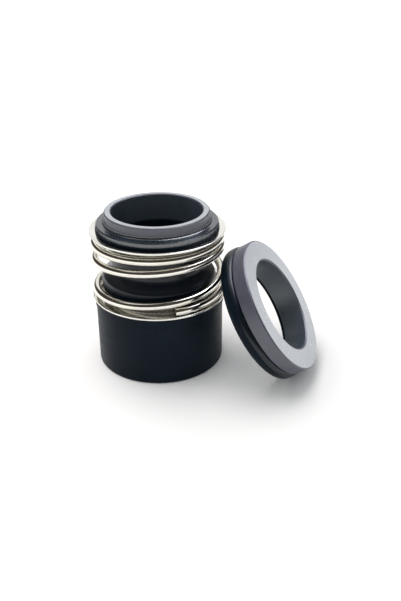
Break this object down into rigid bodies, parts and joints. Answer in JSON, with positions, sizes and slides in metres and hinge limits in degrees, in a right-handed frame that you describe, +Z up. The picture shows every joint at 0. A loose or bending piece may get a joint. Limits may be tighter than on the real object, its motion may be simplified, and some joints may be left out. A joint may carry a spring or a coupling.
{
  "type": "component mechanical seal",
  "caption": "Rubber-bellows shaft seal: hard sealing ring sprung on a long rubber tail, with its rubber-booted stationary seat leaning on it.",
  "frame": {"origin": "centre of the tail's foot, on the shaft axis", "axes": "+Z up along the shaft axis, from the rubber tail to the sealing face; the seat leans on the +X side"},
  "size_m": [0.0662, 0.0501, 0.0464],
  "materials": {
    "hard_ring": "ground, with lapped faces",
    "black_rubber": "smooth moulded",
    "pressed_steel": "bright pressed",
    "spring_wire": "drawn and polished"
  },
  "bodies": {
    "base": {"bellows": "black_rubber", "tail_collar": "pressed_steel", "spring": "spring_wire", "stationary_seat": "hard_ring", "seat_boot": "black_rubber"},
    "head": {"rotating_face": "hard_ring", "head_collar": "pressed_steel"}
  },
  "joints": [
    {"name": "head_travel", "type": "slide", "parent": "base", "child": "head", "axis": [0, 0, 1], "range_m": [-0.006, 0], "stiffness_N_per_m": 9000, "deforming": ["spring", "bellows"]}
  ]
}
